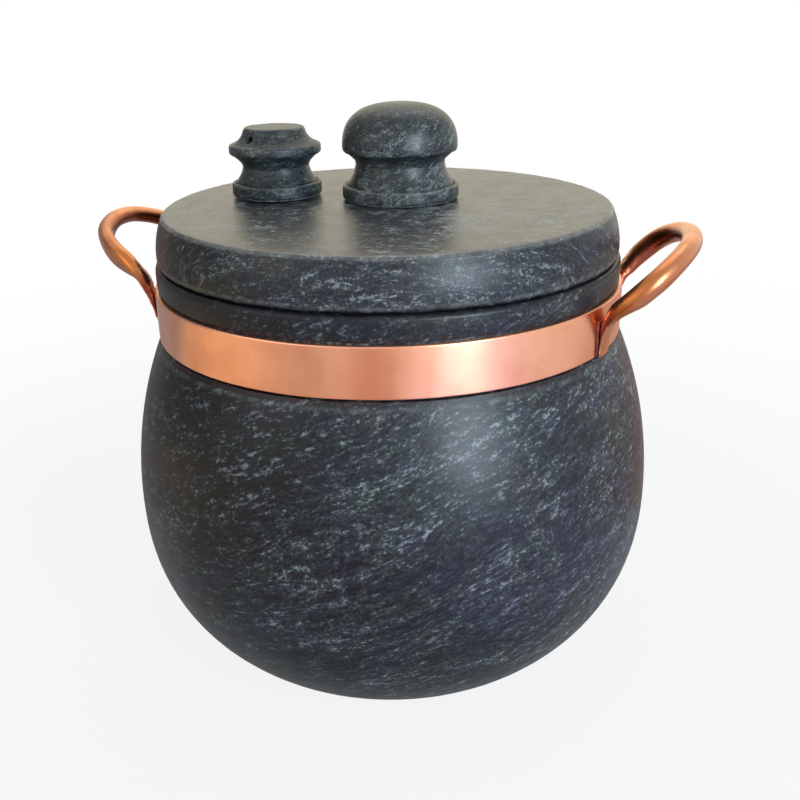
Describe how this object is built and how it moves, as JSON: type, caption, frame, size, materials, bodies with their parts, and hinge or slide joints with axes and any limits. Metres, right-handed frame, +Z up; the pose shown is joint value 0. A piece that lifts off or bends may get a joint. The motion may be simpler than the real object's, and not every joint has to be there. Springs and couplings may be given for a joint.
{
  "type": "pressure cooker",
  "caption": "Round-bellied turned stone pressure cooker with a heavy drop-in lid, stone knob, lift-off stone steam weight, copper band and copper loop handles.",
  "frame": {"origin": "centre of the flat face the pot stands on, on the pot's turning axis", "axes": "+Z up along the pot's axis, +X through the middle of the right handle loop, -X through the left one"},
  "size_m": [0.268, 0.2348, 0.2503],
  "materials": {
    "soapstone_pot": "waxed semi-gloss turned soapstone, dark slate with pale specks and slanted pale streaks",
    "soapstone_lid": "waxed semi-gloss turned soapstone with fine turning marks on the top",
    "soapstone_knobs": "waxed semi-gloss turned soapstone, finely speckled",
    "copper_strip": "satin copper strip with soft lengthwise brushing",
    "copper_tube": "polished copper tube, slightly tarnished orange-brown",
    "brass_fittings": "machined brass"
  },
  "bodies": {
    "pot": {"pot_body": "soapstone_pot", "copper_band": "copper_strip", "band_rivets": "copper_strip", "right_handle": "copper_tube", "left_handle": "copper_tube"},
    "lid": {"lid": "soapstone_lid", "lid_knob": "soapstone_knobs", "knob_stud": "brass_fittings", "knob_washer": "brass_fittings", "knob_nut": "brass_fittings", "vent_tube": "brass_fittings", "vent_washer": "brass_fittings", "vent_nut": "brass_fittings"},
    "weight": {"steam_weight": "soapstone_knobs"}
  },
  "joints": [
    {"name": "lid_lift", "type": "slide", "parent": "pot", "child": "lid", "axis": [0, 0, 1], "range_m": [0, 0.15]},
    {"name": "weight_lift", "type": "slide", "parent": "lid", "child": "weight", "axis": [0, 0, 1], "range_m": [0, 0.05]}
  ]
}
